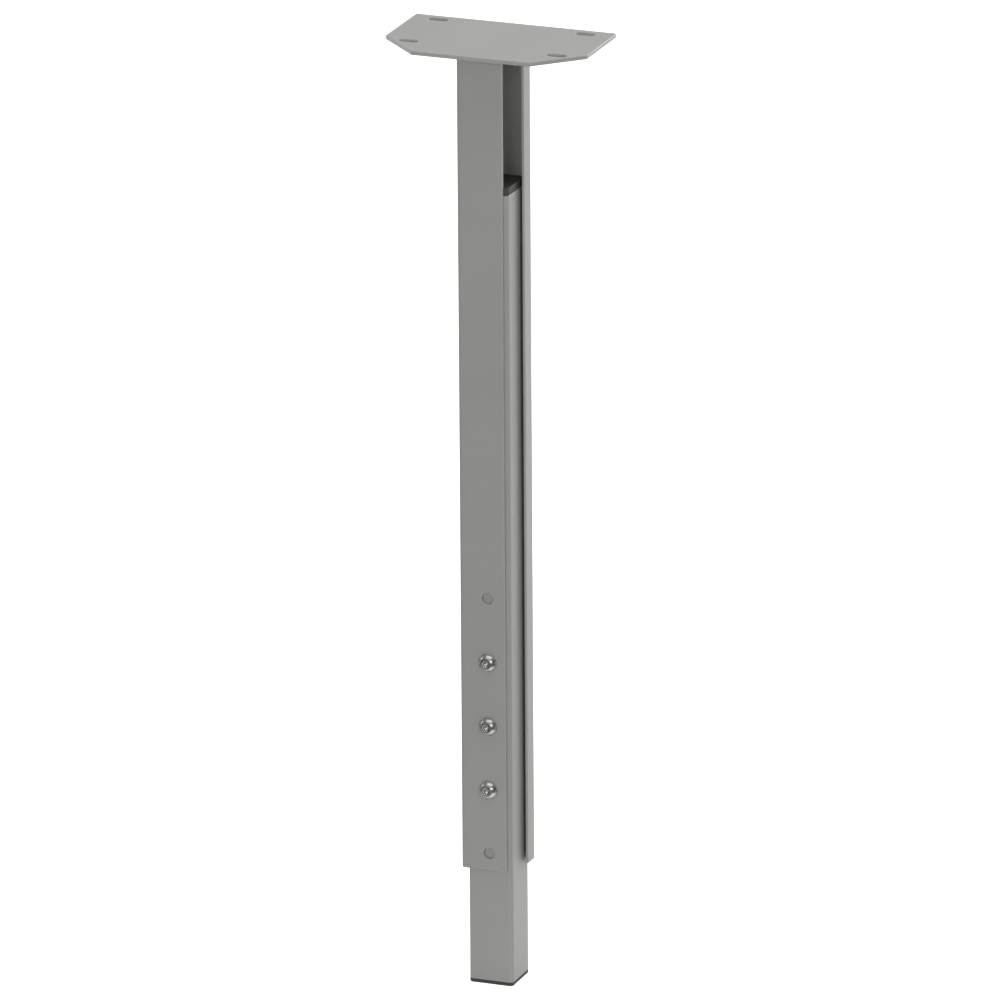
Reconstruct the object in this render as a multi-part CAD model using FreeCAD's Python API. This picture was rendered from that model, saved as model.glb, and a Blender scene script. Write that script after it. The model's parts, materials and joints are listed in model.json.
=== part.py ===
import FreeCAD, Part
import math
import os

# Adjustable table leg, in millimetres, standing on its foot at the middle height setting.
# X points to the open side of the outer profile, Y points to the back, Z points up.
# The origin is the centre of the foot, on the axis of the inner tube, at floor level.

# Mounting plate
LEG_HEIGHT = 730.0
PLATE_WIDTH = 158.0
PLATE_DEPTH = 95.0
PLATE_THICKNESS = 3.0
PLATE_CORNER_CUT = 33.0
PLATE_CORNER_RADIUS = 2.0
SLOT_LENGTH = 15.0
SLOT_WIDTH = 7.0
SLOT_SIDE_MARGIN = 21.0
SLOT_FRONT_MARGIN = 25.5
SLOT_BACK_MARGIN = 9.5

# Inner tube
TUBE_SIDE = 35.0
TUBE_WALL = 2.0
TUBE_CORNER_RADIUS = 3.0
TUBE_LENGTH = 614.0

# Outer profile, bent from sheet around the tube and open to the right
PROFILE_LENGTH = 636.0
PROFILE_WALL = 2.0
BEND_INSIDE_RADIUS = 1.5
FRONT_FLANGE_WIDTH = 36.5
LIP_WIDTH = 15.5
FRONT_CLEARANCE = 0.0
BACK_CLEARANCE = 1.0
WEB_CLEARANCE = 3.0
LIP_CLEARANCE = 2.4

# Row of holes in the front flange, with the outermost ones left spare
HOLE_COUNT = 5
SPARE_HOLES_PER_END = 1
HOLE_PITCH = 50.0
END_HOLE_MARGIN = 13.5
SCREW_CLEARANCE = 0.5

# Clamp: button-head screws pull a tapped bar against the inside of the slotted tube wall
TRAVEL_EACH_WAY = 35.0
SCREW_DIAMETER = 8.0
SCREW_LENGTH = 12.0
SCREW_END_CHAMFER = 0.8
HEAD_DIAMETER = 14.0
HEAD_HEIGHT = 4.4
HEAD_RIM_HEIGHT = 0.7
HEAD_CROWN_DIAMETER = 8.0
SOCKET_ACROSS_FLATS = 5.0
SOCKET_DEPTH = 2.6
BAR_WIDTH = 24.0
BAR_THICKNESS = 6.0
BAR_END_MARGIN = 15.0
BAR_EDGE_CHAMFER = 0.6
THREAD_CLEARANCE = 0.05

# Plastic plugs pressed into both ends of the tube
FOOT_RIM_HEIGHT = 3.0
FOOT_EDGE_RADIUS = 1.0
TOP_PLUG_HEIGHT = 6.0
TOP_EDGE_RADIUS = 1.5
PLUG_DEPTH = 22.0
PLUG_WALL = 1.8
PLUG_RIB_COUNT = 4
PLUG_RIB_HEIGHT = 0.9
PLUG_RIB_THICKNESS = 1.4
PLUG_CORNER_RELIEF = 0.6

# Fillet welds under the plate
WELD_LEG = 4.0
WELD_CROWN = 0.5

# Places worked out from the sizes above
HALF_TUBE = TUBE_SIDE / 2
TUBE_BORE = TUBE_SIDE - 2 * TUBE_WALL
TUBE_BORE_RADIUS = TUBE_CORNER_RADIUS - TUBE_WALL
BEND_OUTSIDE_RADIUS = BEND_INSIDE_RADIUS + PROFILE_WALL
FRONT_FACE = -HALF_TUBE - FRONT_CLEARANCE - PROFILE_WALL
BACK_FACE = HALF_TUBE + BACK_CLEARANCE + PROFILE_WALL
WEB_FACE = -HALF_TUBE - WEB_CLEARANCE - PROFILE_WALL
LIP_FACE = HALF_TUBE + LIP_CLEARANCE + PROFILE_WALL
FRONT_FLANGE_EDGE = WEB_FACE + FRONT_FLANGE_WIDTH
LIP_EDGE = BACK_FACE - LIP_WIDTH
PLATE_UNDERSIDE = LEG_HEIGHT - PLATE_THICKNESS
PROFILE_END = PLATE_UNDERSIDE - PROFILE_LENGTH
TUBE_TOP = FOOT_RIM_HEIGHT + TUBE_LENGTH
HOLE_DIAMETER = SCREW_DIAMETER + 2 * SCREW_CLEARANCE
HOLE_HEIGHTS = [PROFILE_END + END_HOLE_MARGIN + step * HOLE_PITCH for step in range(HOLE_COUNT)]
SCREW_HEIGHTS = HOLE_HEIGHTS[SPARE_HOLES_PER_END:HOLE_COUNT - SPARE_HOLES_PER_END]
BAR_FRONT = -HALF_TUBE + TUBE_WALL

UP = FreeCAD.Vector(0, 0, 1)
BACKWARD = FreeCAD.Vector(0, 1, 0)


def outline(corners):
    """Closed flat wire through (x, y, radius) corners, each rounded by its own radius."""
    points = [FreeCAD.Vector(x, y, 0) for x, y, radius in corners]
    edges = []
    leave_points = []
    enter_points = []
    arcs = []
    for place, (x, y, radius) in enumerate(corners):
        corner = points[place]
        back = (points[place - 1] - corner).normalize()
        ahead = (points[(place + 1) % len(points)] - corner).normalize()
        half_angle = back.getAngle(ahead) / 2
        reach = radius / math.tan(half_angle)
        enter = corner + back * reach
        leave = corner + ahead * reach
        enter_points.append(enter)
        leave_points.append(leave)
        inward = (back + ahead).normalize()
        middle = corner + inward * (radius / math.sin(half_angle) - radius)
        arcs.append(Part.Arc(enter, middle, leave).toShape() if radius > 0 else None)
    for place, arc in enumerate(arcs):
        if arc:
            edges.append(arc)
        edges.append(Part.makeLine(leave_points[place], enter_points[(place + 1) % len(arcs)]))
    return Part.Wire(edges)


def prism(corners, bottom, height):
    """Solid with a rounded outline, from height bottom upwards."""
    solid = Part.Face(outline(corners)).extrude(UP * height)
    solid.translate(UP * bottom)
    return solid


def square(side, radius):
    """Corners of a square centred on the leg's axis."""
    half = side / 2
    return [(-half, -half, radius), (half, -half, radius), (half, half, radius), (-half, half, radius)]


def cut_square(side, cut):
    """Corners of a square centred on the leg's axis, with its corners cut off."""
    half = side / 2
    reach = half - cut
    corners = [(-reach, -half), (reach, -half), (half, -reach), (half, reach)]
    corners += [(-x, -y) for x, y in corners]
    return [(x, y, 0) for x, y in corners]


def stadium(length, width, height):
    """Upright slot cutter centred on the origin, long along X."""
    reach = length / 2
    radius = width / 2
    body = Part.makeBox(length - width, width, height, FreeCAD.Vector(radius - reach, -radius, 0))
    ends = [Part.makeCylinder(radius, height, FreeCAD.Vector(side * (reach - radius), 0, 0)) for side in (-1, 1)]
    return body.fuse(ends)


def hole_cutter(diameter, start, depth, height):
    """Round cutter along Y on the leg's centre plane."""
    return Part.makeCylinder(diameter / 2, depth, FreeCAD.Vector(0, start, height), BACKWARD)


def mounting_plate():
    """Flat plate with its two front corners cut off and four slots for the table top's screws."""
    side = PLATE_WIDTH / 2
    front = -PLATE_DEPTH / 2
    back = PLATE_DEPTH / 2
    cut = PLATE_CORNER_CUT
    corners = [(side - cut, front), (side, front + cut), (side, back)]
    corners += [(-side, back), (-side, front + cut), (-side + cut, front)]
    plate = prism([(x, y, PLATE_CORNER_RADIUS) for x, y in corners], PLATE_UNDERSIDE, PLATE_THICKNESS)
    cutters = []
    for x in (SLOT_SIDE_MARGIN - side, side - SLOT_SIDE_MARGIN):
        for y in (front + SLOT_FRONT_MARGIN, back - SLOT_BACK_MARGIN):
            cutter = stadium(SLOT_LENGTH, SLOT_WIDTH, PLATE_THICKNESS)
            cutter.translate(FreeCAD.Vector(x, y, PLATE_UNDERSIDE))
            cutters.append(cutter)
    return plate.cut(cutters)


def outer_profile():
    """Bent sheet: web on the left, short front flange, longer back flange with a return lip."""
    wall = PROFILE_WALL
    outside = BEND_OUTSIDE_RADIUS
    inside = BEND_INSIDE_RADIUS
    corners = [
        (FRONT_FLANGE_EDGE, FRONT_FACE, 0),
        (FRONT_FLANGE_EDGE, FRONT_FACE + wall, 0),
        (WEB_FACE + wall, FRONT_FACE + wall, inside),
        (WEB_FACE + wall, BACK_FACE - wall, inside),
        (LIP_FACE - wall, BACK_FACE - wall, inside),
        (LIP_FACE - wall, LIP_EDGE, 0),
        (LIP_FACE, LIP_EDGE, 0),
        (LIP_FACE, BACK_FACE, outside),
        (WEB_FACE, BACK_FACE, outside),
        (WEB_FACE, FRONT_FACE, outside),
    ]
    profile = prism(corners, PROFILE_END, PROFILE_LENGTH)
    holes = [hole_cutter(HOLE_DIAMETER, FRONT_FACE, wall, height) for height in HOLE_HEIGHTS]
    return profile.cut(holes)


def weld_section():
    """Face of a fillet weld in the XZ plane, with its right angle at the origin."""
    foot = FreeCAD.Vector(-WELD_LEG, 0, 0)
    toe = FreeCAD.Vector(0, 0, -WELD_LEG)
    slope = (foot + toe).normalize()
    middle = (foot + toe) * 0.5 + slope * WELD_CROWN
    corner = FreeCAD.Vector(0, 0, 0)
    edges = [Part.makeLine(corner, foot), Part.Arc(foot, middle, toe).toShape(), Part.makeLine(toe, corner)]
    return Part.Face(Part.Wire(edges))


def web_weld():
    """Weld along the outside of the web, under the plate."""
    start = FRONT_FACE + BEND_OUTSIDE_RADIUS
    length = BACK_FACE - BEND_OUTSIDE_RADIUS - start
    bead = weld_section().extrude(BACKWARD * length)
    bead.translate(FreeCAD.Vector(WEB_FACE, start, PLATE_UNDERSIDE))
    return bead


def back_weld():
    """Weld along the outside of the back flange, under the plate."""
    start = WEB_FACE + BEND_OUTSIDE_RADIUS
    length = LIP_FACE - BEND_OUTSIDE_RADIUS - start
    bead = weld_section().extrude(BACKWARD * length)
    bead.rotate(FreeCAD.Vector(0, 0, 0), UP, -90)
    bead.translate(FreeCAD.Vector(start, BACK_FACE, PLATE_UNDERSIDE))
    return bead


def inner_tube():
    """Square tube with a long slot in its front wall for the clamp screws to run in."""
    outer = prism(square(TUBE_SIDE, TUBE_CORNER_RADIUS), FOOT_RIM_HEIGHT, TUBE_LENGTH)
    bore = prism(square(TUBE_BORE, TUBE_BORE_RADIUS), FOOT_RIM_HEIGHT, TUBE_LENGTH)
    run = SCREW_HEIGHTS[-1] - SCREW_HEIGHTS[0] + 2 * TRAVEL_EACH_WAY
    slot = stadium(run + HOLE_DIAMETER, HOLE_DIAMETER, TUBE_WALL)
    slot.rotate(FreeCAD.Vector(0, 0, 0), UP, 90)
    slot.rotate(FreeCAD.Vector(0, 0, 0), FreeCAD.Vector(1, 0, 0), 90)
    slot.translate(FreeCAD.Vector(0, BAR_FRONT, (SCREW_HEIGHTS[0] + SCREW_HEIGHTS[-1]) / 2))
    return outer.cut([bore, slot])


def clamp_bar():
    """Flat steel bar inside the tube, tapped for the clamp screws."""
    bottom = SCREW_HEIGHTS[0] - BAR_END_MARGIN
    length = SCREW_HEIGHTS[-1] + BAR_END_MARGIN - bottom
    bar = Part.makeBox(BAR_WIDTH, BAR_THICKNESS, length, FreeCAD.Vector(-BAR_WIDTH / 2, BAR_FRONT, bottom))
    bar = bar.makeChamfer(BAR_EDGE_CHAMFER, bar.Edges)
    diameter = SCREW_DIAMETER + 2 * THREAD_CLEARANCE
    return bar.cut([hole_cutter(diameter, BAR_FRONT, BAR_THICKNESS, height) for height in SCREW_HEIGHTS])


def clamp_screw(height):
    """Button-head screw with a domed head and a hexagon socket, seated on the front flange."""
    shank = SCREW_DIAMETER / 2
    head = HEAD_DIAMETER / 2
    crown = HEAD_CROWN_DIAMETER / 2
    rim_top = FreeCAD.Vector(head, 0, HEAD_RIM_HEIGHT)
    crown_edge = FreeCAD.Vector(crown, 0, HEAD_HEIGHT)
    rise = HEAD_HEIGHT - HEAD_RIM_HEIGHT
    dome_centre = UP * ((crown_edge.Length ** 2 - rim_top.Length ** 2) / (2 * rise))
    dome_radius = (rim_top - dome_centre).Length
    outward = ((rim_top + crown_edge) * 0.5 - dome_centre).normalize()
    stem = [(0, -SCREW_LENGTH), (shank - SCREW_END_CHAMFER, -SCREW_LENGTH)]
    stem += [(shank, SCREW_END_CHAMFER - SCREW_LENGTH), (shank, 0), (head, 0), (head, HEAD_RIM_HEIGHT)]
    edges = Part.makePolygon([FreeCAD.Vector(x, 0, z) for x, z in stem]).Edges
    edges.append(Part.Arc(rim_top, dome_centre + outward * dome_radius, crown_edge).toShape())
    top = FreeCAD.Vector(0, 0, HEAD_HEIGHT)
    edges.append(Part.makeLine(crown_edge, top))
    edges.append(Part.makeLine(top, FreeCAD.Vector(0, 0, -SCREW_LENGTH)))
    screw = Part.Face(Part.Wire(edges)).revolve(FreeCAD.Vector(0, 0, 0), UP, 360)
    corner_radius = SOCKET_ACROSS_FLATS / math.sqrt(3)
    turns = [math.radians(60 * step) for step in range(6)]
    hexagon = [(corner_radius * math.cos(turn), corner_radius * math.sin(turn), 0) for turn in turns]
    screw = screw.cut(prism(hexagon, HEAD_HEIGHT - SOCKET_DEPTH, SOCKET_DEPTH))
    screw.rotate(FreeCAD.Vector(0, 0, 0), FreeCAD.Vector(1, 0, 0), 90)
    screw.translate(FreeCAD.Vector(0, FRONT_FACE, height))
    return screw


def tube_plug(head_height, edge_radius):
    """Plug standing on its head, the head's inner face at height zero and a ribbed insert above it."""
    head = prism(square(TUBE_SIDE, TUBE_CORNER_RADIUS), -head_height, head_height)
    rim = [edge for edge in head.Edges if edge.BoundBox.ZMax < -head_height / 2]
    head = head.makeFillet(edge_radius, rim)
    corner_cut = TUBE_BORE_RADIUS + PLUG_CORNER_RELIEF
    core_side = TUBE_BORE - 2 * PLUG_RIB_HEIGHT
    core = prism(cut_square(core_side, corner_cut), 0, PLUG_DEPTH)
    pitch = PLUG_DEPTH / (PLUG_RIB_COUNT + 1)
    ribs = []
    for step in range(PLUG_RIB_COUNT):
        bottom = (step + 1) * pitch - PLUG_RIB_THICKNESS / 2
        ribs.append(prism(cut_square(TUBE_BORE, corner_cut), bottom, PLUG_RIB_THICKNESS))
    pocket = prism(cut_square(core_side - 2 * PLUG_WALL, corner_cut), 0, PLUG_DEPTH)
    return head.fuse([core] + ribs).cut(pocket).removeSplitter()


def foot_plug():
    """Black foot: a thin rim under the tube wall that stands on the floor."""
    plug = tube_plug(FOOT_RIM_HEIGHT, FOOT_EDGE_RADIUS)
    plug.translate(UP * FOOT_RIM_HEIGHT)
    return plug


def top_plug():
    """Black plug that closes the upper end of the tube."""
    plug = tube_plug(TOP_PLUG_HEIGHT, TOP_EDGE_RADIUS)
    plug.rotate(FreeCAD.Vector(0, 0, 0), FreeCAD.Vector(1, 0, 0), 180)
    plug.translate(UP * TUBE_TOP)
    return plug


def pieces():
    """Every piece of the leg by name, with the screws counted from the lowest one."""
    named = {
        "mounting_plate": mounting_plate(),
        "outer_profile": outer_profile(),
        "web_weld": web_weld(),
        "back_weld": back_weld(),
        "clamp_bar": clamp_bar(),
        "inner_tube": inner_tube(),
        "top_plug": top_plug(),
        "foot_plug": foot_plug(),
    }
    for number, height in enumerate(SCREW_HEIGHTS, start=1):
        named["clamp_screw_" + str(number)] = clamp_screw(height)
    return named


os.makedirs("parts", exist_ok=True)
for name, shape in pieces().items():
    shape.exportStep("parts/" + name + ".step")
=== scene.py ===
import json
import logging
import math
from dataclasses import dataclass, field
from enum import Enum
from functools import cache
from typing import Iterable, Sequence

import bmesh
import bpy
from mathutils import Euler, Matrix, Vector


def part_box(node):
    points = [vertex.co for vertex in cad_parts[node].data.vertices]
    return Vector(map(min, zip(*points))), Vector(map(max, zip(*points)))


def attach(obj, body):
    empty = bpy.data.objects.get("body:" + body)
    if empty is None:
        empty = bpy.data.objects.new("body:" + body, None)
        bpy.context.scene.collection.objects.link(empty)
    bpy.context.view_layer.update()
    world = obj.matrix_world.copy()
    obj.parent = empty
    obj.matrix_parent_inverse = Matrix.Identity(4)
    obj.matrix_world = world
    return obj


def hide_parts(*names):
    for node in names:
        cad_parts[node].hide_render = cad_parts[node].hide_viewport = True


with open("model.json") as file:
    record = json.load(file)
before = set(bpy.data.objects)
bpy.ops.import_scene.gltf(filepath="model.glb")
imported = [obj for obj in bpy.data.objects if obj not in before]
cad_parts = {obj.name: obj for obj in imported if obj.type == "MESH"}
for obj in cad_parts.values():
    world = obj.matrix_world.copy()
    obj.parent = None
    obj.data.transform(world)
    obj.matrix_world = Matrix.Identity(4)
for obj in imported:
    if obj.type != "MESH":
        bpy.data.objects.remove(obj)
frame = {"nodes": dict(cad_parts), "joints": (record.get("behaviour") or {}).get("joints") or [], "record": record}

LOG = logging.getLogger("table_leg")
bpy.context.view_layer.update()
MM = 0.001
IMAGE_SIDE = 1000
QUARTER = math.pi / 2
SHARP = math.radians(40)
COPLANAR = math.radians(0.5)
WELD_DISTANCE = 1e-7
CUT_TOLERANCE = 1e-8
PATH_TOLERANCE = 1e-9
EDGE_STEPS = 3
EDGE_MARK = "edge"
BEAD_MARKS = ("along", "across", "free")
WHITE = (1.0, 1.0, 1.0, 1.0)

Pair = tuple[float, float]
Triple = tuple[float, float, float]
Loop = list[Pair]
Ring = list[Vector]
Shape = bmesh.types.BMesh
Mesh = bpy.types.Mesh
Piece = bpy.types.Object
Socket = bpy.types.NodeSocket
Outputs = bpy.types.NodeOutputs


class Body(Enum):
    """Moving bodies of the leg."""

    LOWER_LEG = "lower_leg"
    UPPER_FRAME = "upper_frame"
    SCREW_1 = "screw_1"
    SCREW_2 = "screw_2"
    SCREW_3 = "screw_3"


class Slot(Enum):
    """Material slots of the leg's record."""

    GREY_COATING = "grey_coating"
    SCREW_STEEL = "screw_steel"
    BAR_STEEL = "bar_steel"
    BLACK_PLASTIC = "black_plastic"


class Turn(Enum):
    """Ways a sheet can be bent, as seen from above while walking along it."""

    LEFT = 1
    RIGHT = -1


Materials = dict[Slot, bpy.types.Material]


def screw_joints() -> list[dict]:
    """The frame's joints that turn a clamp screw."""
    return [joint for joint in frame["joints"] if joint["type"] == "hinge"]


def screw_span() -> Pair:
    """Heights of the lowest and the highest clamp screw."""
    heights = [joint["pos_m"][2] for joint in screw_joints()]
    return min(heights), max(heights)


# Flat shapes


def arc_points(centre: Pair, radius: float, start: float, sweep: float, steps: int) -> Loop:
    """Points on an arc, both ends included.

    Args:
        centre: Middle of the arc.
        radius: Radius of the arc.
        start: Angle of the first point, in radians.
        sweep: Angle from the first point to the last one.
        steps: Number of stretches between points.

    Returns:
        The points in order.
    """
    angles = [start + sweep * step / steps for step in range(steps + 1)]
    return [(centre[0] + radius * math.cos(a), centre[1] + radius * math.sin(a)) for a in angles]


def rounded_loop(corners: Sequence[Pair], radius: float, steps: int = 8) -> Loop:
    """Closed outline with every corner rounded by the same radius.

    Args:
        corners: Corner points, counter-clockwise.
        radius: Radius at each corner.
        steps: Stretches on each rounded corner.

    Returns:
        The outline's points.
    """
    points: Loop = []
    for place, corner in enumerate(corners):
        here = Vector(corner)
        back = (Vector(corners[place - 1]) - here).normalized()
        ahead = (Vector(corners[(place + 1) % len(corners)]) - here).normalized()
        half = back.angle(ahead) / 2
        centre = here + (back + ahead).normalized() * (radius / math.sin(half))
        enter = here + back * (radius / math.tan(half)) - centre
        start = math.atan2(enter.y, enter.x)
        points += arc_points((centre.x, centre.y), radius, start, math.pi - 2 * half, steps)
    return points


def stadium_loop(centre: Pair, length: float, width: float, turn: float, steps: int = 16) -> Loop:
    """Outline of a slot with round ends.

    Args:
        centre: Middle of the slot.
        length: Length from end to end.
        width: Width of the slot.
        turn: Angle of the slot from the first axis.
        steps: Stretches on each round end.

    Returns:
        The outline's points, counter-clockwise.
    """
    reach = (length - width) / 2
    points: Loop = []
    for way in (turn, turn + math.pi):
        middle = (centre[0] + reach * math.cos(way), centre[1] + reach * math.sin(way))
        points += arc_points(middle, width / 2, way - QUARTER, math.pi, steps)
    return points


def circle_loop(centre: Pair, radius: float, steps: int = 48) -> Loop:
    """Outline of a round hole."""
    return arc_points(centre, radius, 0.0, 2 * math.pi, steps)[:-1]


def offset_loop(loop: Loop, distance: float) -> Loop:
    """Closed outline moved sideways, with its corners kept.

    Args:
        loop: Points of the outline.
        distance: How far to move it, to the left of its direction.

    Returns:
        The moved points.
    """
    moved: Loop = []
    for place, point in enumerate(loop):
        here = Vector(point)
        back = (here - Vector(loop[place - 1])).normalized()
        ahead = (Vector(loop[(place + 1) % len(loop)]) - here).normalized()
        along = (back + ahead).normalized()
        reach = distance / along.dot(ahead)
        moved.append((here.x - along.y * reach, here.y + along.x * reach))
    return moved


# Meshes


def new_object(name: str, data: bpy.types.ID) -> Piece:
    """Object in the scene.

    Args:
        name: Name of the object.
        data: Mesh, lamp or lens that it carries.

    Returns:
        The object.
    """
    piece = bpy.data.objects.new(name, data)
    bpy.context.scene.collection.objects.link(piece)
    return piece


def settle(piece: Piece) -> None:
    """Turns an object's modifiers into plain mesh.

    Args:
        piece: Mesh object whose modifiers are final.
    """
    graph = bpy.context.evaluated_depsgraph_get()
    mesh = bpy.data.meshes.new_from_object(piece.evaluated_get(graph), depsgraph=graph)
    mesh.name = piece.name
    piece.modifiers.clear()
    piece.data = mesh


def smooth_faces(mesh: Mesh, sharp_angle: float = SHARP) -> None:
    """Shades a mesh smooth, with sharp edges above an angle."""
    mesh.polygons.foreach_set("use_smooth", [True] * len(mesh.polygons))
    mesh.set_sharp_from_angle(angle=sharp_angle)


def weigh_normals(piece: Piece) -> None:
    """Keeps large flat faces flat beside their rounded edges.

    Args:
        piece: Smooth-shaded mesh object.
    """
    modifier = piece.modifiers.new("Flat faces", "WEIGHTED_NORMAL")
    modifier.mode = "FACE_AREA"
    modifier.weight = 100
    modifier.keep_sharp = True
    settle(piece)


def mark(mesh: Mesh, label: str, values: Sequence[float]) -> None:
    """Stores one number per vertex as an attribute."""
    mesh.attributes.new(label, "FLOAT", "POINT").data.foreach_set("value", values)


def mark_edges(mesh: Mesh, flat: float = math.radians(10), full: float = math.radians(14)) -> None:
    """Stores how much each vertex lies on a cut edge, from 0 on a flat to 1 on the edge.

    Args:
        mesh: Mesh that gets the attribute.
        flat: Angle between faces up to which a vertex counts as flat.
        full: Angle between faces from which it counts as an edge.
    """
    bent = [0.0] * len(mesh.vertices)
    shape = bmesh.new()
    shape.from_mesh(mesh)
    for edge in shape.edges:
        share = min(1.0, max(0.0, (edge.calc_face_angle(0.0) - flat) / (full - flat)))
        for vertex in edge.verts:
            bent[vertex.index] = max(bent[vertex.index], share)
    shape.free()
    mark(mesh, EDGE_MARK, bent)


def skin(shape: Shape, rings: Sequence[Ring]) -> list[list]:
    """Skins a row of rings that all have the same number of points.

    Args:
        shape: Mesh under construction.
        rings: Rings of points, in order.

    Returns:
        The rings' vertices.
    """
    rows = [[shape.verts.new(point) for point in ring] for ring in rings]
    for lower, upper in zip(rows, rows[1:]):
        for place, vertex in enumerate(lower):
            beside = (place + 1) % len(lower)
            shape.faces.new((vertex, lower[beside], upper[beside], upper[place]))
    return rows


def piece_from(shape: Shape, name: str, sharp_angle: float = SHARP) -> Piece:
    """Object from a mesh under construction, with its faces turned outwards.

    Args:
        shape: Finished mesh, which is freed.
        name: Name of the object.
        sharp_angle: Angle above which an edge is shaded sharp.

    Returns:
        The object.
    """
    bmesh.ops.remove_doubles(shape, verts=shape.verts, dist=WELD_DISTANCE)
    bmesh.ops.recalc_face_normals(shape, faces=shape.faces)
    mesh = bpy.data.meshes.new(name)
    shape.to_mesh(mesh)
    shape.free()
    smooth_faces(mesh, sharp_angle)
    return new_object(name, mesh)


def loft(name: str, rings: Sequence[Ring], capped: bool = True, sharp_angle: float = SHARP) -> Piece:
    """Object skinned over a row of rings.

    Args:
        name: Name of the object.
        rings: Rings with the same number of points, in order.
        capped: True to close the first and the last ring with a face each.
        sharp_angle: Angle above which an edge is shaded sharp.

    Returns:
        The object.
    """
    shape = bmesh.new()
    rows = skin(shape, rings)
    if capped:
        shape.faces.new(rows[0])
        shape.faces.new(rows[-1])
    return piece_from(shape, name, sharp_angle)


# Sheet metal


def sheet_blank(loops: Sequence[Loop], thickness: float, edge: float, border: float) -> Shape:
    """Flat sheet cut to an outline with holes, its edges slightly rounded.

    A narrow border runs along every cut on both flats, so that wear stays near the cuts.

    Args:
        loops: The outline, then the holes in it, all counter-clockwise.
        thickness: Thickness of the sheet, which lies half above and half below zero.
        edge: Radius of the rounded edges.
        border: Width of the border.

    Returns:
        The blank as a mesh under construction.
    """
    half = thickness / 2
    turns = [QUARTER * step / EDGE_STEPS for step in range(EDGE_STEPS + 1)]
    upper = [(edge * (1 - math.cos(turn)), half - edge * (1 - math.sin(turn))) for turn in turns]
    upper.append((edge + border, half))
    section = [(inset, -height) for inset, height in reversed(upper)] + upper
    shape = bmesh.new()
    rims: tuple[list, list] = ([], [])
    for number, loop in enumerate(loops):
        rings = []
        for inset, height in section:
            outline = offset_loop(loop, inset if number == 0 else -inset)
            rings.append([Vector((x, y, height)) for x, y in outline])
        rows = skin(shape, rings)
        for rim, row, beside in ((rims[0], rows[0], rows[1]), (rims[1], rows[-1], rows[-2])):
            rim += [shape.edges.get((row[place - 1], vertex)) for place, vertex in enumerate(row)]
            for pair in zip(row, beside):
                shape.edges.get(pair).seam = True
    for rim in rims:
        for line in rim:
            line.seam = True
        bmesh.ops.triangle_fill(shape, edges=rim, use_beauty=True, normal=(0, 0, 1))
    return shape


def merge_flats(shape: Shape) -> None:
    """Joins the triangles of each flat into whole faces, inside its border.

    Args:
        shape: Mesh under construction, with seams where faces stay apart.
    """
    bmesh.ops.recalc_face_normals(shape, faces=shape.faces)
    bmesh.ops.dissolve_limit(
        shape,
        angle_limit=COPLANAR,
        use_dissolve_boundaries=True,
        verts=shape.verts,
        edges=shape.edges,
        delimit={"SEAM"},
    )


def direction(heading: float) -> Vector:
    """Unit vector of a heading in the plan view."""
    return Vector((math.cos(heading), math.sin(heading)))


@dataclass(frozen=True)
class Flat:
    """A flat of a sheet and the right-angled bend after it."""

    run: float
    turn: Turn | None = None


@dataclass(frozen=True)
class Stretch:
    """A flat or a bend, placed on the middle line of a folded sheet."""

    begin: float
    length: float
    origin: Vector
    heading: float
    turn: Turn | None = None


@dataclass
class SheetPath:
    """Middle line of a folded sheet, seen along its length."""

    start: Vector
    heading: float
    flats: Sequence[Flat]
    radius: float
    bend_steps: int = 10
    length: float = field(init=False, default=0.0)
    stretches: list[Stretch] = field(init=False, default_factory=list)

    def __post_init__(self) -> None:
        """Works out where each flat and each bend begins."""
        here, heading = self.start.copy(), self.heading
        for flat in self.flats:
            self.stretches.append(Stretch(self.length, flat.run, here.copy(), heading))
            here += direction(heading) * flat.run
            self.length += flat.run
            if flat.turn is None:
                continue
            bend = Stretch(self.length, self.radius * QUARTER, here.copy(), heading, flat.turn)
            self.stretches.append(bend)
            self.length += bend.length
            reach = self.radius * flat.turn.value
            here += direction(heading + QUARTER) * reach
            heading += QUARTER * flat.turn.value
            here -= direction(heading + QUARTER) * reach

    def cuts(self) -> list[float]:
        """Distances along the sheet where the flat blank needs an edge to fold on."""
        shares = [step / self.bend_steps for step in range(self.bend_steps + 1)]
        return [part.begin + part.length * share for part in self.stretches if part.turn for share in shares]

    def place(self, along: float, across: float) -> Vector:
        """Where a point of the flat blank lands once the sheet is folded.

        Args:
            along: Distance along the middle line.
            across: Distance to the left of the middle line.

        Returns:
            The point in the plan view.
        """
        begun = [part for part in self.stretches if along >= part.begin - PATH_TOLERANCE]
        part = begun[-1] if begun else self.stretches[0]
        travelled = along - part.begin
        left = direction(part.heading + QUARTER)
        if part.turn is None:
            return part.origin + direction(part.heading) * travelled + left * across
        reach = self.radius * part.turn.value
        turned = part.heading + part.turn.value * travelled / self.radius
        return part.origin + left * reach + direction(turned + QUARTER) * (across - reach)


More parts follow.
